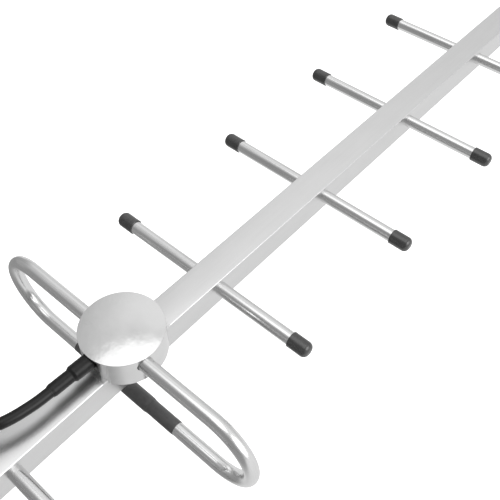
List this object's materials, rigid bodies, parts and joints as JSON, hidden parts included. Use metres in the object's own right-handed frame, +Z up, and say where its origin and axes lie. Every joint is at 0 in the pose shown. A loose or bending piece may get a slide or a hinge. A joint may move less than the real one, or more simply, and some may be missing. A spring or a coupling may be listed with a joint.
{
  "type": "yagi antenna",
  "caption": "Square-boom yagi antenna with a looped dipole under a round feed box, capped cross rods, a short coaxial tail and a tilting mast clamp.",
  "frame": {"origin": "on the mast's axis, level with the middle of the boom", "axes": "+Y forward along the boom, +Z up along the mast, +X to the right across the boom"},
  "size_m": [0.166, 0.7835, 0.2165],
  "materials": {
    "satin_aluminium": "satin, fine drawn grain",
    "bright_aluminium": "semi-bright drawn",
    "black_vinyl": "soft matte vinyl",
    "black_plastic": "moulded, fine grain",
    "heat_shrink": "shrunk sleeve, soft sheen",
    "cable_jacket": "smooth jacket",
    "zinc_steel": "zinc plated",
    "cast_aluminium": "as cast",
    "brass": "bright",
    "nickel": "nickel plated",
    "white_ptfe": "smooth white"
  },
  "bodies": {
    "mast_mount": {"mast_bracket": "zinc_steel", "mast_saddle": "cast_aluminium", "u_bolt_washers": "zinc_steel", "pivot_bolt": "zinc_steel", "pivot_washers": "zinc_steel", "pivot_nut": "zinc_steel"},
    "antenna": {"boom": "satin_aluminium", "boom_plug_front": "black_plastic", "boom_plug_rear": "black_plastic", "reflector_rod": "bright_aluminium", "reflector_caps": "black_vinyl", "director_1_rod": "bright_aluminium", "director_2_rod": "bright_aluminium", "director_3_rod": "bright_aluminium", "director_4_rod": "bright_aluminium", "director_5_rod": "bright_aluminium", "director_6_rod": "bright_aluminium", "director_7_rod": "bright_aluminium", "director_1_caps": "black_vinyl", "director_2_caps": "black_vinyl", "director_3_caps": "black_vinyl", "director_4_caps": "black_vinyl", "director_5_caps": "black_vinyl", "director_6_caps": "black_vinyl", "director_7_caps": "black_vinyl", "dipole_half_right": "bright_aluminium", "dipole_half_left": "bright_aluminium", "dipole_joint_pin": "zinc_steel", "joint_sleeve_long": "heat_shrink", "joint_sleeve_short": "heat_shrink", "feed_foot_plate": "satin_aluminium", "feed_insulator": "black_plastic", "feed_insert": "brass", "feed_screw": "zinc_steel", "feed_cover": "satin_aluminium", "terminal_lugs": "brass", "terminal_screws": "zinc_steel", "coax_conductor": "brass", "coax_braid": "nickel", "cable_sleeve_thick": "heat_shrink", "cable_sleeve_thin": "heat_shrink", "feed_cable": "cable_jacket", "socket_crimp": "nickel", "socket_body": "nickel", "socket_insulator": "white_ptfe", "socket_contact": "brass", "lock_bolt": "zinc_steel", "lock_washers": "zinc_steel"},
    "u_bolt": {"u_bolt": "zinc_steel"},
    "u_bolt_nut_right": {"u_bolt_nut_right": "zinc_steel"},
    "u_bolt_nut_left": {"u_bolt_nut_left": "zinc_steel"},
    "lock_wing_nut": {"lock_wing_nut": "zinc_steel"}
  },
  "joints": [
    {"name": "boom_tilt", "type": "hinge", "parent": "mast_mount", "child": "antenna", "pos_m": [0, 0.042, 0], "axis": [1, 0, 0], "range_deg": [-20, 20]},
    {"name": "u_bolt_slide", "type": "slide", "parent": "mast_mount", "child": "u_bolt", "axis": [0, -1, 0], "range_m": [-0.006, 0.008]},
    {"name": "nut_right_turn", "type": "hinge", "parent": "mast_mount", "child": "u_bolt_nut_right", "pos_m": [0.0243, 0.03, 0], "axis": [0, 1, 0], "range_deg": [-2160, 2880]},
    {"name": "nut_left_turn", "type": "hinge", "parent": "mast_mount", "child": "u_bolt_nut_left", "pos_m": [-0.0243, 0.03, 0], "axis": [0, 1, 0], "range_deg": [-2160, 2880]},
    {"name": "wing_nut_turn", "type": "hinge", "parent": "antenna", "child": "lock_wing_nut", "pos_m": [0.012, 0.066, 0], "axis": [1, 0, 0], "continuous": true}
  ],
  "couplings": [
    {"joint": "nut_right_turn", "follows": "u_bolt_slide", "rad_per_m": 6283.2},
    {"joint": "nut_left_turn", "follows": "u_bolt_slide", "rad_per_m": 6283.2}
  ]
}
